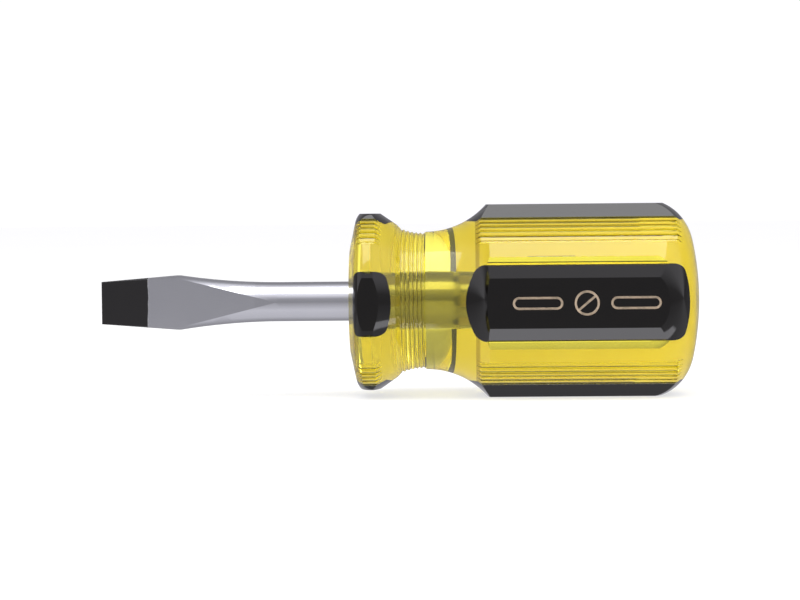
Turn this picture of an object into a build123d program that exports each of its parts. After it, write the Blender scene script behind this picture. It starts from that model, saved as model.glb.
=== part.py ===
"""Stubby slotted screwdriver: a steel blade pressed into a clear amber handle with black grip lands.

The tool lies level on its bottom land. X runs along the tool, tip towards -X, and +Z is up.
The origin is under the middle of its length, on the plane it rests on. Millimetres.
"""

import math
import os

from build123d import *

os.makedirs("parts", exist_ok=True)

# ---- driving dimensions -------------------------------------------------------------------------
exposed_length = 38.1  # tip to the front face of the handle, a nominal 1-1/2 inch blade
handle_length = 52.8
land_height = 14.55  # from the tool's axis to the flat of each grip land
pad_height = 13.3  # from the tool's axis to the flat of each collar pad
press_overlap = 0.02  # the moulded and pressed joints grip by this much

# blade, in the same lengthwise station as the handle: 0 at the handle's front face
tip_width = 6.5
tip_thickness = 1.2
shank_diameter = 6.0
flare_width = 8.4
flare_station = -26.2
flare_round = 4.0
flare_end_station = -11.0
wedge_angle = 6.47  # each ground face against the axis
wedge_straight_station = -22.5
wedge_end_station = -11.5
wedge_cut_reach = 8.4  # the grinding cut clears the flare by this half width

# tang, the part of the bar inside the handle
tang_length = 44.0
tang_end_chamfer = 1.0
fin_thickness = 1.6
fin_reach = 4.3
fin_stations = (24.0, 27.0, 34.0, 35.5)  # foot, crest, crest, foot

# turned outline of the handle
front_face_radius = 8.3
front_face_slope = 1.26
front_corner_round = 2.5
collar_radius = 14.1
collar_rear_station = 3.46
collar_rear_round = 0.3
neck_step_station = 7.06
neck_step_radius = 11.62
neck_front_station = 7.65
neck_front_radius = 11.0
neck_radius = 10.3
neck_rear_station = 11.3
ring_count = 6
ring_pitch = 0.62
ring_groove_radius = 0.22
ring_groove_depth = 0.17
shoulder_station = 11.5
shoulder_radius = 10.48
turned_radius = 15.03
shoulder_end_station = 21.05
butt_crown_curvature = 42.0
butt_crown_radius = 9.4
butt_start_station = 45.9

# section of the amber body
core_radius = 13.8
shoulder_flat_depth = 13.4  # amber margin beside the front and back lands
shoulder_half_height = 8.9
flute_floor_radius = 13.1
reed_top_radius = 13.7
reed_top_angle = 1.45  # degrees from the reed's middle to the edge of its top
reed_foot_angle = 2.2
reed_count = 5
reed_pitch = 4.7  # degrees
reed_zone_start = 41.3  # degrees up from the middle of the front land

# half sections of the black strips, from the flat down to the foot: (half width, distance from the axis)
side_land_section = ((3.7, land_height), (5.45, 13.75), (5.66, 13.4), (5.66, 12.0))
end_land_section = ((3.7, land_height), (5.66, 12.57), (5.66, 12.0))
side_pad_section = ((3.9, pad_height), (4.8, 12.95), (4.8, 11.8))
end_pad_section = ((4.94, pad_height), (5.66, 12.57), (5.66, 11.6))
strip_inner_depth = 12.05  # middle of the underside
foot_round_share = 0.8  # the foot's rounds take this much of the side wall
pocket_clearance = 1.0  # the pockets run out past the turned outline by this much
pad_stations = (0.0, 10.0)
land_stations = (14.0, handle_length)

# engraved mark on the front land: a slotted screw head between two open bars
mark_station = 35.3
mark_depth = 0.2
mark_stroke = 0.34
screw_head_radius = 1.85
screw_slot_angle = 40.0
bar_length = 7.4
bar_width = 1.9
bar_offset = 7.2

# ---- frame --------------------------------------------------------------------------------------
overall_length = exposed_length + handle_length
front_face_x = exposed_length - overall_length / 2
axis_height = land_height
tool_axis = Axis((front_face_x, 0, axis_height), (1, 0, 0))
quarter_turn = 90
top_angle = quarter_turn  # a strip's angle is measured up from +Y, as polar() measures it
# local x is the station along the tool and local y the distance above its axis
lengthwise = Plane(origin=(front_face_x, 0, axis_height), x_dir=(1, 0, 0), z_dir=(0, -1, 0))


def section_at(station):
    """The cross-section plane at a station: local x is Y, local y is height over the axis."""
    return Plane(origin=(front_face_x + station, 0, axis_height), x_dir=(0, 1, 0), z_dir=(1, 0, 0))


def polar(radius, degrees):
    """A point of the cross-section, its angle measured up from +Y."""
    return (radius * math.cos(math.radians(degrees)), radius * math.sin(math.radians(degrees)))


# ---- turned outline of the handle -----------------------------------------------------------------
butt_crown_sag = butt_crown_curvature - math.sqrt(butt_crown_curvature**2 - butt_crown_radius**2)
butt_crown_station = handle_length - butt_crown_sag
butt_crown_angle = math.asin(butt_crown_radius / butt_crown_curvature)
butt_crown_middle = (
    handle_length - butt_crown_curvature + butt_crown_curvature * math.cos(butt_crown_angle / 2),
    butt_crown_curvature * math.sin(butt_crown_angle / 2),
)

with BuildPart() as turned_blank:
    with BuildSketch(lengthwise):
        with BuildLine():
            front = Polyline(
                (0, 0),
                (0, front_face_radius),
                (front_face_slope, collar_radius),
                (collar_rear_station, collar_radius),
                (neck_step_station, neck_step_radius),
                (neck_front_station, neck_front_radius),
            )
            TangentArc((neck_rear_station, neck_radius), front @ 1, tangent=(-1, 0))
            step = Line((neck_rear_station, neck_radius), (shoulder_station, shoulder_radius))
            shoulder = TangentArc(step @ 1, (shoulder_end_station, turned_radius), tangent=(1, 0))
            barrel = Line(shoulder @ 1, (butt_start_station, turned_radius))
            crown = ThreePointArc(
                (handle_length, 0), butt_crown_middle, (butt_crown_station, butt_crown_radius)
            )
            TangentArc(crown @ 1, barrel @ 1, tangent=crown % 1)
            Line((handle_length, 0), (0, 0))
        outline = make_face()
        front_corner = outline.vertices().sort_by_distance((front_face_slope, collar_radius))[0]
        fillet(front_corner, front_corner_round)
        rear_corner = outline.vertices().sort_by_distance((collar_rear_station, collar_radius))[0]
        fillet(rear_corner, collar_rear_round)
        ring_front = neck_rear_station - ring_pitch / 2 - (ring_count - 1) * ring_pitch
        for ring in range(ring_count):
            station = ring_front + ring * ring_pitch
            along = (neck_rear_station - station) / (neck_rear_station - neck_front_station)
            surface = neck_radius + (neck_front_radius - neck_radius) * along**2
            with Locations((station, surface + ring_groove_radius - ring_groove_depth)):
                Circle(ring_groove_radius, mode=Mode.SUBTRACT)
    revolve(axis=tool_axis)

# ---- blade: flared and ground working end, round shank, finned tang --------------------------------
tip = -exposed_length
wedge_drop = math.tan(math.radians(wedge_angle))
wedge_straight_height = tip_thickness / 2 + (wedge_straight_station - tip) * wedge_drop


def tang_solid(overlap):
    """The tang as a solid, smaller all round by the overlap, for the bar and for its socket."""
    radius = shank_diameter / 2 - overlap
    end = tang_length - overlap
    with BuildPart() as tang:
        with BuildSketch(lengthwise):
            Polygon(
                (0, 0),
                (0, radius),
                (end - tang_end_chamfer, radius),
                (end, radius - tang_end_chamfer),
                (end, 0),
                align=None,
            )
        revolve(axis=tool_axis)
        with BuildSketch(lengthwise):
            foot, crest, crest_end, foot_end = fin_stations
            with BuildLine():
                Polyline(
                    (foot + overlap, 0),
                    (foot + overlap, radius),
                    (crest + overlap, fin_reach - overlap),
                    (crest_end - overlap, fin_reach - overlap),
                    (foot_end - overlap, radius),
                    (foot_end - overlap, 0),
                    close=True,
                )
            make_face()
            mirror(about=Plane.XZ)
        extrude(amount=fin_thickness / 2 - overlap, both=True)
    return tang.part


tang = tang_solid(0)
with BuildPart() as blade:
    with BuildSketch(lengthwise):
        with BuildLine():
            edge = Line((tip, 0), (tip, tip_width / 2))
            taper = Line(edge @ 1, (flare_station, flare_width / 2))
            shank = Line((flare_end_station, shank_diameter / 2), (0, shank_diameter / 2))
            TangentArc(shank @ 0, taper @ 1, tangent=(-1, 0))
            Polyline(shank @ 1, (0, 0), edge @ 0)
        bar_outline = make_face()
        flare_corner = bar_outline.vertices().sort_by_distance((flare_station, flare_width / 2))[0]
        fillet(flare_corner, flare_round)
    revolve(axis=tool_axis)
    add(tang)
    # the two ground faces: everything outside the wedge outline is cut away on both sides
    with BuildSketch(Plane(origin=tool_axis.position, x_dir=(1, 0, 0), z_dir=(0, 0, 1))):
        with BuildLine():
            grind = Line((tip, tip_thickness / 2), (wedge_straight_station, wedge_straight_height))
            run_out = TangentArc(grind @ 1, (wedge_end_station, shank_diameter / 2), tangent=grind % 1)
            Polyline(run_out @ 1, (wedge_end_station, wedge_cut_reach), (tip, wedge_cut_reach), grind @ 0)
        make_face()
        mirror(about=Plane.XZ)
    extrude(amount=wedge_cut_reach, both=True, mode=Mode.SUBTRACT)
blade.part.label = "blade"
export_step(blade.part, "parts/blade.step")


# ---- black strips: pads in the collar and lands in the grip ---------------------------------------------
def strip_prism(half_section, angle, stations, overlap=0.0):
    """A straight strip between two stations, its flat facing the angle.

    The overlap makes it narrower and shallower, for its pocket in the amber body.
    """
    right = [(half_width - overlap, depth) for half_width, depth in half_section[:-1]]
    foot_width, foot_depth = half_section[-1]
    foot_round = foot_round_share * (half_section[-2][1] - foot_depth - overlap)
    right.append((foot_width - overlap, foot_depth + overlap))
    left = [(-half_width, depth) for half_width, depth in reversed(right)]
    start, end = stations
    with BuildPart() as prism:
        with BuildSketch(section_at(start)):
            with BuildLine(Plane.XY.rotated((0, 0, angle - top_angle))):
                Polyline(*left, *right)
                ThreePointArc(right[-1], (0, strip_inner_depth + overlap), left[0])
            section = make_face()
            feet = section.vertices().sort_by_distance((0, 0))[:2]
            fillet(feet, foot_round)
        extrude(amount=end - start)
    return prism.part


def turned(prism):
    """A strip cut to the turned outline."""
    with BuildPart() as strip:
        add(prism)
        add(turned_blank.part, mode=Mode.INTERSECT)
    return strip.part


def engraved(land):
    """The front land with its mark cut into the flat."""
    with BuildPart() as marked:
        add(land)
        with BuildSketch(lengthwise.offset(land_height)):
            with Locations((mark_station, 0)):
                Circle(screw_head_radius)
                Circle(screw_head_radius - mark_stroke, mode=Mode.SUBTRACT)
                Rectangle(2 * screw_head_radius - mark_stroke, mark_stroke, rotation=screw_slot_angle)
            with Locations((mark_station - bar_offset, 0), (mark_station + bar_offset, 0)):
                SlotOverall(bar_length, bar_width)
                SlotOverall(bar_length - 2 * mark_stroke, bar_width - 2 * mark_stroke, mode=Mode.SUBTRACT)
        extrude(amount=-mark_depth, mode=Mode.SUBTRACT)
    return marked.part


sides = {"front": 180, "back": 0, "top": top_angle, "bottom": -top_angle}
strips = {
    "collar_pad": (pad_stations, side_pad_section, end_pad_section),
    "grip_land": (land_stations, side_land_section, end_land_section),
}
pockets = []
for strip_name, (stations, side_section, end_section) in strips.items():
    for side, angle in sides.items():
        half_section = side_section if side in ("front", "back") else end_section
        piece = turned(strip_prism(half_section, angle, stations))
        if (strip_name, side) == ("grip_land", "front"):
            piece = engraved(piece)
        piece.label = f"{strip_name}_{side}"
        export_step(piece, f"parts/{piece.label}.step")
        # the pocket has the strip's foot and side walls, and runs straight out past the surface
        pocket_mouth = (half_section[-1][0], turned_radius + pocket_clearance)
        pockets.append(strip_prism((pocket_mouth, *half_section[-2:]), angle, stations, press_overlap))

# ---- amber body ---------------------------------------------------------------------------------------
reed_zone = reed_count * reed_pitch
socket = tang_solid(press_overlap)
with BuildPart() as handle_body:
    with BuildSketch(section_at(0)):
        Rectangle(2 * shoulder_flat_depth, 2 * shoulder_half_height)
        Circle(turned_radius, mode=Mode.INTERSECT)
        Circle(core_radius)
        for quadrant in range(4):
            # the reeds lie nearer to the top and bottom lands, so every other quadrant is mirrored
            mirrored = quadrant % 2 == 1
            zone_start = quarter_turn - reed_zone_start - reed_zone if mirrored else reed_zone_start
            start = quarter_turn * quadrant + zone_start
            end = start + reed_zone
            with BuildLine():
                floor = CenterArc((0, 0), flute_floor_radius, start, end - start)
                Polyline(floor @ 0, polar(turned_radius, start), polar(turned_radius, end), floor @ 1)
            make_face(mode=Mode.SUBTRACT)
            for reed in range(reed_count):
                crest = start + (reed + 0.5) * reed_pitch
                with BuildLine():
                    Polyline(
                        polar(flute_floor_radius, crest - reed_foot_angle),
                        polar(reed_top_radius, crest - reed_top_angle),
                        polar(reed_top_radius, crest + reed_top_angle),
                        polar(flute_floor_radius, crest + reed_foot_angle),
                        close=True,
                    )
                make_face()
    extrude(amount=handle_length)
    add(turned_blank.part, mode=Mode.INTERSECT)
    add(pockets, mode=Mode.SUBTRACT)
    add(socket, mode=Mode.SUBTRACT)
handle_body.part.label = "handle_body"
export_step(handle_body.part, "parts/handle_body.step")
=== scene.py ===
"""Stubby slotted screwdriver: finishes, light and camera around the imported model. Metres."""

import math

import bpy
from mathutils import Matrix, Vector


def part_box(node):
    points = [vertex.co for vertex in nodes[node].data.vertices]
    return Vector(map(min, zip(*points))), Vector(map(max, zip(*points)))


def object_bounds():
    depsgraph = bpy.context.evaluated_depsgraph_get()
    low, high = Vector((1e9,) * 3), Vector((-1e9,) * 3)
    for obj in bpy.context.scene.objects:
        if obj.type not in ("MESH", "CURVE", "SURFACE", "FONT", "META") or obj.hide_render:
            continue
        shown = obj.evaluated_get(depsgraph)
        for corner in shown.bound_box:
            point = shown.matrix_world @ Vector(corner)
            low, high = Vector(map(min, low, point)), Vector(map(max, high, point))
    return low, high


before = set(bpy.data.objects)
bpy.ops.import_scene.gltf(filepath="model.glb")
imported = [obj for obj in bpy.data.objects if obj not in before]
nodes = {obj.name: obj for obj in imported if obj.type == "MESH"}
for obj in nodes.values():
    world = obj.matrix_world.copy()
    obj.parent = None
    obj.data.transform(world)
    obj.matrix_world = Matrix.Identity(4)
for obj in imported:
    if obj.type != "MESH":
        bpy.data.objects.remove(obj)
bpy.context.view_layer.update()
scene = bpy.context.scene

# ---- places read from the frame -------------------------------------------------------------------
cad_low, cad_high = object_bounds()
axis_z = (cad_low.z + cad_high.z) / 2
tip_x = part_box("blade")[0].x
handle_front_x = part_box("handle_body")[0].x
middle = Vector((0, 0, axis_z))
land_front_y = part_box("grip_land_front")[0].y


# ---- small node helpers ---------------------------------------------------------------------------
class Nodes:
    """One material's node tree, with short calls for the nodes that the finishes share."""

    def __init__(self, name):
        self.material = bpy.data.materials.new(name)
        self.material.use_nodes = True
        self.tree = self.material.node_tree
        self.shader = self.tree.nodes["Principled BSDF"]
        self.output = self.tree.nodes["Material Output"]
        self.place = self.add("ShaderNodeTexCoord").outputs["Object"]

    def add(self, kind, **settings):
        node = self.tree.nodes.new(kind)
        for key, value in settings.items():
            setattr(node, key, value)
        return node

    def link(self, source, target):
        self.tree.links.new(source, target)

    def feed(self, socket, value):
        """Links an output to the socket, or sets a plain value on it."""
        if isinstance(value, bpy.types.NodeSocket):
            self.link(value, socket)
        else:
            socket.default_value = value

    def math(self, operation, a, b=0.0, clamp=False):
        node = self.add("ShaderNodeMath", operation=operation, use_clamp=clamp)
        self.feed(node.inputs[0], a)
        self.feed(node.inputs[1], b)
        return node.outputs[0]

    def stretched(self, scale):
        """The place on the object in metres, scaled per axis, as texture coordinates."""
        node = self.add("ShaderNodeMapping")
        self.link(self.place, node.inputs["Vector"])
        node.inputs["Scale"].default_value = scale
        return node.outputs["Vector"]

    def noise(self, scale, detail=2.0, roughness=0.5):
        """Noise whose cells are 1/scale metres long on each axis."""
        node = self.add("ShaderNodeTexNoise")
        self.link(self.stretched(scale), node.inputs["Vector"])
        node.inputs["Scale"].default_value = 1.0
        node.inputs["Detail"].default_value = detail
        node.inputs["Roughness"].default_value = roughness
        return node.outputs["Fac"]

    def span(self, value, low, high, to_low, to_high):
        """The value mapped from one range to another, held at its ends."""
        node = self.add("ShaderNodeMapRange")
        self.feed(node.inputs["Value"], value)
        node.inputs["From Min"].default_value = low
        node.inputs["From Max"].default_value = high
        node.inputs["To Min"].default_value = to_low
        node.inputs["To Max"].default_value = to_high
        return node.outputs["Result"]

    def mix(self, share, first, second):
        """Two colours mixed by a share."""
        node = self.add("ShaderNodeMix", data_type="RGBA")
        self.feed(node.inputs["Factor"], share)
        self.feed(node.inputs["A"], first)
        self.feed(node.inputs["B"], second)
        return node.outputs["Result"]

    def axes(self):
        """The place on the object as X, Y and Z."""
        node = self.add("ShaderNodeSeparateXYZ")
        self.link(self.place, node.inputs[0])
        return node.outputs

    def near(self, value, centre, reach):
        """One where the value lies within the reach of the centre, else zero."""
        off_centre = self.math("ABSOLUTE", self.math("SUBTRACT", value, centre))
        return self.math("LESS_THAN", off_centre, reach)

    def from_axis(self, places):
        """The distance from the tool's axis."""
        height = self.math("SUBTRACT", places["Z"], axis_z)
        across_squared = self.math("MULTIPLY", places["Y"], places["Y"])
        height_squared = self.math("MULTIPLY", height, height)
        return self.math("SQRT", self.math("ADD", across_squared, height_squared))

    def bump(self, height, strength, distance):
        """A bumpy normal from a height, at most the distance deep, in metres."""
        node = self.add("ShaderNodeBump")
        self.link(height, node.inputs["Height"])
        node.inputs["Strength"].default_value = strength
        node.inputs["Distance"].default_value = distance
        return node.outputs["Normal"]


def finish_node(name, material):
    """Puts a material on every slot of a CAD node."""
    for slot in nodes[name].material_slots:
        slot.material = material


# ---- amber acetate --------------------------------------------------------------------------------
# middle and half length, in metres along the handle from its front face
collar_reeds = (0.0023, 0.0016)
grip_reeds = (0.0340, 0.0150)
rings = (0.00944, 0.0018)
first_ring, ring_pitch, ring_half_width = 0.00789, 0.00062, 0.00013
# metres out from the tool's axis
valley_floor, valley_top = 0.01340, 0.01362
valley_shade_share = 0.8  # how far a valley is darkened to brown as painted shade; the middle of a ring groove goes all the way
amber_deep, amber_pale = (0.95, 0.86, 0.13, 1), (0.98, 0.91, 0.18, 1)
# painted shade: the dark brown laid into the reed valleys and the ring grooves
painted_shade_brown = (0.30, 0.22, 0.03, 1)
amber_through = (0.99, 0.95, 0.25, 1)  # the colour that light keeps on its way through
amber_density = 30.0
plastic_ior = 1.48


def amber_acetate():
    """Clear amber with painted shade: browner in the valleys between the reeds and in the neck's ring
    grooves.
    """
    n = Nodes("amber_acetate")
    sockets = n.shader.inputs
    cloud = n.noise((120, 120, 120), detail=2)
    tint = n.mix(n.span(cloud, 0.35, 0.65, 0, 1), amber_deep, amber_pale)
    places = n.axes()
    station = n.math("SUBTRACT", places["X"], handle_front_x)
    reeded = n.math("ADD", n.near(station, *collar_reeds), n.near(station, *grip_reeds))
    deep = n.span(n.from_axis(places), valley_floor, valley_top, 1, 0)
    valley = n.math("MULTIPLY", deep, reeded)
    off_ring = n.math("PINGPONG", n.math("SUBTRACT", station, first_ring), ring_pitch / 2)
    groove = n.span(off_ring, 0, ring_half_width, 1, 0)
    ring = n.math("MULTIPLY", n.near(station, *rings), groove)
    # painted shade: the valleys and ring grooves are darkened to brown
    painted_shade = n.math("MAXIMUM", n.math("MULTIPLY", valley, valley_shade_share), ring)
    n.link(n.mix(painted_shade, tint, painted_shade_brown), sockets["Base Color"])
    scuffs = n.noise((900, 2600, 2600), detail=3, roughness=0.6)
    n.link(n.span(scuffs, 0.45, 0.75, 0.0, 0.03), sockets["Roughness"])
    sockets["Transmission Weight"].default_value = 0.92
    sockets["IOR"].default_value = plastic_ior
    absorption = n.add("ShaderNodeVolumeAbsorption")
    absorption.inputs["Color"].default_value = amber_through
    absorption.inputs["Density"].default_value = amber_density
    n.link(absorption.outputs[0], n.output.inputs["Volume"])
    return n.material


# ---- black gloss plastic --------------------------------------------------------------------------
# metres along the handle from its front face
collar_end = 0.007
grip_start = 0.0192
mark_station, mark_half_length, mark_half_height = 0.0353, 0.0113, 0.0025
# metres out from the tool's axis
buried_radius = 0.0137
# metres in from the front land's flat: where the paint starts, and a place past the engraving's floor
paint_start, paint_end = 0.00008, 0.0005
paint_tan = (0.62, 0.50, 0.37, 1)
black_deep, black_pale = (0.002, 0.0017, 0.0015, 1), (0.004, 0.003, 0.0025, 1)
# painted glow: the bright amber laid on the bonded sides in place of light scattered through the amber
painted_glow_amber_ground = (1.0, 0.94, 0.36, 1)
glow_amber, glow_strength = (1.0, 0.78, 0.12, 1), 0.26


def black_plastic():
    """Gloss black outside. The sides bonded into the collar and the grip take a bright amber ground, a
    painted glow standing in for the light that scatters through the amber.
    """
    n = Nodes("black_plastic")
    sockets = n.shader.inputs
    mottle = n.noise((300, 300, 300), detail=3)
    black = n.mix(mottle, black_deep, black_pale)
    # the outward share of the normal is below zero on the bonded side
    places = n.axes()
    height = n.math("SUBTRACT", places["Z"], axis_z)
    facing = n.add("ShaderNodeSeparateXYZ")
    n.link(n.add("ShaderNodeTexCoord").outputs["Normal"], facing.inputs[0])
    outward_y = n.math("MULTIPLY", places["Y"], facing.outputs["Y"])
    outward_z = n.math("MULTIPLY", height, facing.outputs["Z"])
    inward = n.math("LESS_THAN", n.math("ADD", outward_y, outward_z), 0.0)
    buried = n.math("LESS_THAN", n.from_axis(places), buried_radius)
    bonded = n.math("MULTIPLY", inward, buried)
    station = n.math("SUBTRACT", places["X"], handle_front_x)
    on_collar = n.math("LESS_THAN", station, collar_end)
    on_grip = n.math("GREATER_THAN", station, grip_start)
    # painted glow: the bonded sides of the collar pads and grip lands are painted bright amber
    painted_glow_ground = n.math("MULTIPLY", bonded, n.math("ADD", on_collar, on_grip))
    black_and_painted_glow = n.mix(painted_glow_ground, black, painted_glow_amber_ground)
    # a little glow stands in for the light that scatters about in the amber
    sockets["Emission Color"].default_value = glow_amber
    n.link(n.math("MULTIPLY", painted_glow_ground, glow_strength), sockets["Emission Strength"])
    # the engraved mark on the front land is filled with pale tan paint
    below_flat = n.math("GREATER_THAN", places["Y"], land_front_y + paint_start)
    in_front = n.math("LESS_THAN", places["Y"], land_front_y + paint_end)
    sunk = n.math("MULTIPLY", below_flat, in_front)
    beside = n.math("LESS_THAN", n.math("ABSOLUTE", height), mark_half_height)
    along = n.near(station, mark_station, mark_half_length)
    painted = n.math("MULTIPLY", sunk, n.math("MULTIPLY", along, beside))
    wear = n.span(n.noise((1500, 1500, 1500), detail=2), 0.3, 0.6, 0.7, 1.0)
    coloured = n.mix(n.math("MULTIPLY", painted, wear), black_and_painted_glow, paint_tan)
    n.link(coloured, sockets["Base Color"])
    scuffs = n.noise((700, 3000, 3000), detail=4, roughness=0.65)
    n.link(n.span(scuffs, 0.4, 0.75, 0.04, 0.11), sockets["Roughness"])
    sockets["IOR"].default_value = plastic_ior
    unevenness = n.noise((800, 800, 800), detail=1)
    n.link(n.bump(unevenness, 0.02, 0.0001), sockets["Normal"])
    return n.material


# ---- plated steel, blackened at the tip -----------------------------------------------------------
# metres from the bar's tip
black_end, black_fade, black_wander = 0.0072, 0.0001, 0.00012
# metres before the handle's front face, and metres into the handle
flats_end = 0.0145
tang_shade_start = 0.0002
plating_deep, plating_pale = (0.62, 0.625, 0.665, 1), (0.67, 0.675, 0.71, 1)
# painted shade: the dark colour given to the steel inside the handle, standing in for its dim reflections
# through the amber
tang_painted_shade = (0.24, 0.23, 0.20, 1)
tip_black = (0.006, 0.005, 0.0055, 1)
flats_roughness, tip_roughness = 0.06, 0.16  # added to the plating's


def plated_steel():
    """Plated steel with grain along the bar, blackened at the tip and darkened inside the handle with
    painted shade.
    """
    n = Nodes("plated_steel")
    sockets = n.shader.inputs
    places = n.axes()
    grain = n.noise((250, 9000, 9000), detail=3, roughness=0.6)
    cloud = n.noise((160, 160, 160), detail=2)
    plating = n.mix(cloud, plating_deep, plating_pale)
    edge_wander = n.noise((300, 300, 300), detail=2)
    wandering_x = n.math("ADD", places["X"], n.span(edge_wander, 0.3, 0.7, -black_wander, black_wander))
    black_edge_x = tip_x + black_end
    blackened = n.span(wandering_x, black_edge_x - black_fade, black_edge_x + black_fade, 1, 0)
    # painted shade: the steel inside the handle is darkened
    tang_shaded = n.math("GREATER_THAN", places["X"], handle_front_x + tang_shade_start)
    bar = n.mix(tang_shaded, plating, tang_painted_shade)
    n.link(n.mix(blackened, bar, tip_black), sockets["Base Color"])
    n.link(n.math("SUBTRACT", 1.0, blackened), sockets["Metallic"])
    flats = n.math("LESS_THAN", places["X"], handle_front_x - flats_end)
    rough_flats = n.math("MULTIPLY", flats, flats_roughness)
    rough_tip = n.math("MULTIPLY", blackened, tip_roughness)
    rough_grain = n.span(grain, 0.3, 0.7, 0.14, 0.20)
    roughness = n.math("ADD", n.math("ADD", rough_grain, rough_flats), rough_tip)
    n.link(roughness, sockets["Roughness"])
    n.link(n.bump(grain, 0.03, 0.00003), sockets["Normal"])
    return n.material


finish_node("handle_body", amber_acetate())
finish_node("blade", plated_steel())
black = black_plastic()
for name in nodes:
    if name.startswith(("grip_land", "collar_pad")):
        finish_node(name, black)


# ---- studio ---------------------------------------------------------------------------------------
tent_tint = (0.98, 0.97, 1.03)
floor_half_width = 3.0
floor_deep, floor_pale = (0.34, 0.34, 0.34, 1), (0.36, 0.36, 0.36, 1)
floor_emission = 0.68
# how bright the table is in mirror-like reflections, by the distance in metres behind the tool's axis
table_glow = [
    (-0.30, 0.36),
    (-0.14, 0.40),
    (-0.045, 0.53),
    (-0.025, 0.66),
    (-0.014, 0.80),
    (0.0, 0.7),
    (0.008, 0.4),
    (0.05, 0.35),
]
# a bright strip of the table before the grip, in metres: where it fades in, and where it fades out
strip_x = ((0.0, 0.005), (0.06, 0.065))
strip_y = ((-0.026, -0.025), (-0.0205, -0.0195))
strip_glow = 2.9


def within(n, place, fade_in, fade_out):
    """One between the two fades, zero outside them."""
    return n.math("MULTIPLY", n.span(place, *fade_in, 0, 1), n.span(place, *fade_out, 1, 0))


def glow_curve(n, place):
    """The table's glow at a place behind the tool's axis."""
    nearest, furthest = table_glow[0][0], table_glow[-1][0]
    curve = n.add("ShaderNodeFloatCurve")
    n.link(n.span(place, nearest, furthest, 0, 1), curve.inputs["Value"])
    points = curve.mapping.curves[0].points
    while len(points) < len(table_glow):
        points.new(0.5, 0.5)
    for point, (y, radiance) in zip(points, table_glow):
        point.location = ((y - nearest) / (furthest - nearest), radiance)
        point.handle_type = "VECTOR"
    curve.mapping.update()
    return curve.outputs["Value"]


def white_floor():
    """A pale underlit table top that is dimmer in reflections than seen directly or through the amber."""
    size = floor_half_width
    corners = [(-size, -size, 0), (size, -size, 0), (size, size, 0), (-size, size, 0)]
    mesh = bpy.data.meshes.new("floor")
    mesh.from_pydata(corners, [], [(0, 1, 2, 3)])
    floor = bpy.data.objects.new("floor", mesh)
    scene.collection.objects.link(floor)
    n = Nodes("floor_white")
    sockets = n.shader.inputs
    tone = n.mix(n.noise((3, 3, 3)), floor_deep, floor_pale)
    n.link(tone, sockets["Base Color"])
    sockets["Roughness"].default_value = 0.9
    sockets["Specular IOR Level"].default_value = 0.0
    sockets["Emission Color"].default_value = (1, 1, 1, 1)
    sockets["Emission Strength"].default_value = floor_emission
    places = n.axes()
    in_strip = n.math("MULTIPLY", within(n, places["X"], *strip_x), within(n, places["Y"], *strip_y))
    strip = n.math("MULTIPLY", in_strip, strip_glow)
    mirrored = n.add("ShaderNodeEmission")
    mirrored.inputs["Color"].default_value = (*tent_tint, 1)
    n.link(n.math("ADD", glow_curve(n, places["Y"]), strip), mirrored.inputs["Strength"])
    path = n.add("ShaderNodeLightPath").outputs
    reflected = n.math("SUBTRACT", path["Is Glossy Ray"], path["Is Transmission Ray"], clamp=True)
    either = n.add("ShaderNodeMixShader")
    n.link(reflected, either.inputs[0])
    n.link(n.shader.outputs[0], either.inputs[1])
    n.link(mirrored.outputs[0], either.inputs[2])
    n.link(either.outputs[0], n.output.inputs["Surface"])
    mesh.materials.append(n.material)


def area_light(name, place, target, size, power):
    """A rectangular light at a place, turned to the target."""
    light = bpy.data.lights.new(name, "AREA")
    light.shape = "RECTANGLE"
    light.size, light.size_y = size
    light.energy = power
    lamp = bpy.data.objects.new(name, light)
    lamp.location = place
    lamp.rotation_mode = "QUATERNION"
    lamp.rotation_quaternion = (Vector(target) - Vector(place)).to_track_quat("-Z", "Y")
    scene.collection.objects.link(lamp)


def on_arc(elevation, distance):
    """A point at that elevation seen from the tool's middle, 0 towards the camera and 180 behind."""
    e = math.radians(elevation)
    return middle + Vector((0, -math.cos(e), math.sin(e))) * distance


# radiance of the surroundings by angle over the tool: 0 towards the camera, 90 overhead, 180 behind
tent = [
    (0, 0.37),
    (18, 0.42),
    (36, 1.0),
    (50, 1.3),
    (90, 1.3),
    (100, 1.1),
    (110, 0.7),
    (121, 0.42),
    (140, 0.3),
    (164, 0.38),
    (171.5, 1.05),
    (180, 1.05),
]
tent_peak = 2.0  # the radiance that the ramp's white stands for
backdrop_from = 166  # degrees
backdrop_dimming = 0.64  # the share taken off the backdrop in reflections


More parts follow.
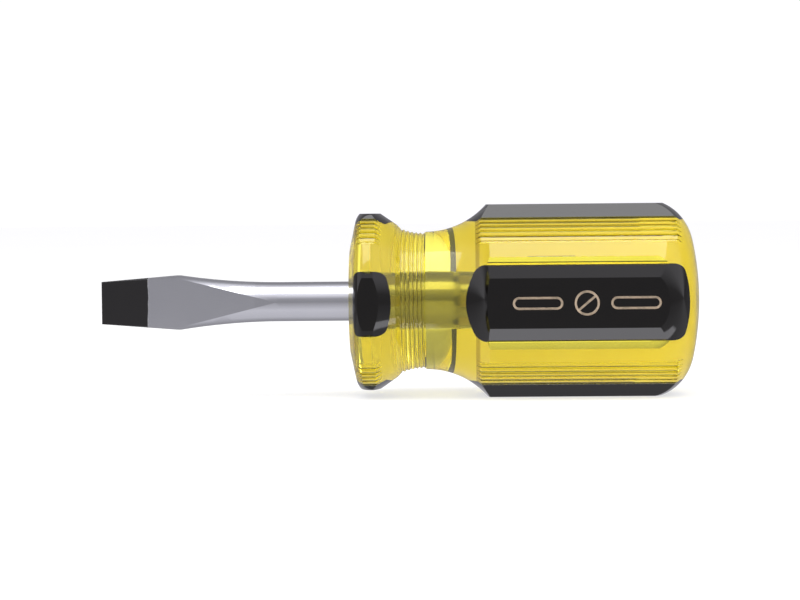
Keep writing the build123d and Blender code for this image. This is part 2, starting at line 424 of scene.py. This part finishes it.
def studio_world():
    """A light tent that changes only with the angle about the tool's axis, dimmer low behind in gloss."""
    world = bpy.data.worlds.new("studio")
    scene.world = world
    world.use_nodes = True
    tree = world.node_tree
    back = tree.nodes["Background"]

    def math_node(operation, a, b=0.0, clamp=False):
        node = tree.nodes.new("ShaderNodeMath")
        node.operation = operation
        node.use_clamp = clamp
        for socket, value in zip(node.inputs, (a, b)):
            if isinstance(value, bpy.types.NodeSocket):
                tree.links.new(value, socket)
            else:
                socket.default_value = value
        return node.outputs[0]

    direction = tree.nodes.new("ShaderNodeTexCoord").outputs["Generated"]
    axes = tree.nodes.new("ShaderNodeSeparateXYZ")
    tree.links.new(direction, axes.inputs[0])
    towards_camera = math_node("MULTIPLY", axes.outputs["Y"], -1)
    angle = math_node("ARCTAN2", axes.outputs["Z"], towards_camera)
    half_turns = math_node("ABSOLUTE", math_node("DIVIDE", angle, math.pi))

    ramp = tree.nodes.new("ShaderNodeValToRGB")
    tree.links.new(half_turns, ramp.inputs["Fac"])
    tree.links.new(ramp.outputs["Color"], back.inputs["Color"])
    stops = ramp.color_ramp.elements
    while len(stops) < len(tent):
        stops.new(0.5)
    for stop, (degrees, radiance) in zip(stops, tent):
        stop.position = degrees / 180
        stop.color = [radiance / tent_peak * share for share in tent_tint] + [1]

    path = tree.nodes.new("ShaderNodeLightPath").outputs
    reflected = math_node("SUBTRACT", path["Is Glossy Ray"], path["Is Transmission Ray"], clamp=True)
    low_behind = math_node("GREATER_THAN", half_turns, backdrop_from / 180)
    dimmed = math_node("MULTIPLY", reflected, low_behind)
    taken_off = math_node("MULTIPLY", dimmed, tent_peak * backdrop_dimming)
    tree.links.new(math_node("SUBTRACT", tent_peak, taken_off), back.inputs["Strength"])


softbox_elevation, softbox_distance = 72, 0.6
softbox_size, softbox_watts = (1.0, 0.42), 4.4

white_floor()
studio_world()
area_light("softbox", on_arc(softbox_elevation, softbox_distance), middle, softbox_size, softbox_watts)


# ---- camera ---------------------------------------------------------------------------------------
camera_distance = 0.38
camera_azimuth, camera_elevation, camera_roll = 1.6, 2.25, 0.545  # degrees
frame_width = 0.12202  # what the picture spans at the tool's axis
sensor_width = 36  # millimetres, like the lens
aim_off_middle = Vector((0.00012, 0, 0.0001))


def photo_camera():
    """A camera almost square to the tool's side, slightly turned, raised and rolled."""
    azimuth = math.radians(camera_azimuth)
    elevation = math.radians(camera_elevation)
    roll = math.radians(camera_roll)
    back = Vector((
        math.sin(azimuth) * math.cos(elevation),
        -math.cos(azimuth) * math.cos(elevation),
        math.sin(elevation),
    ))
    lens = bpy.data.cameras.new("camera")
    lens.sensor_width = sensor_width
    lens.lens = sensor_width * camera_distance / frame_width
    lens.clip_start, lens.clip_end = 0.01, 20
    camera = bpy.data.objects.new("camera", lens)
    scene.collection.objects.link(camera)
    turn = (-back).to_track_quat("-Z", "Y").to_matrix().to_4x4() @ Matrix.Rotation(-roll, 4, "Z")
    place = middle + aim_off_middle + back * camera_distance
    camera.matrix_world = Matrix.Translation(place) @ turn
    scene.camera = camera


photo_camera()
scene.view_settings.view_transform = "Standard"
scene.cycles.max_bounces = 24
scene.cycles.transmission_bounces = 24
scene.cycles.glossy_bounces = 8
scene.cycles.transparent_max_bounces = 24
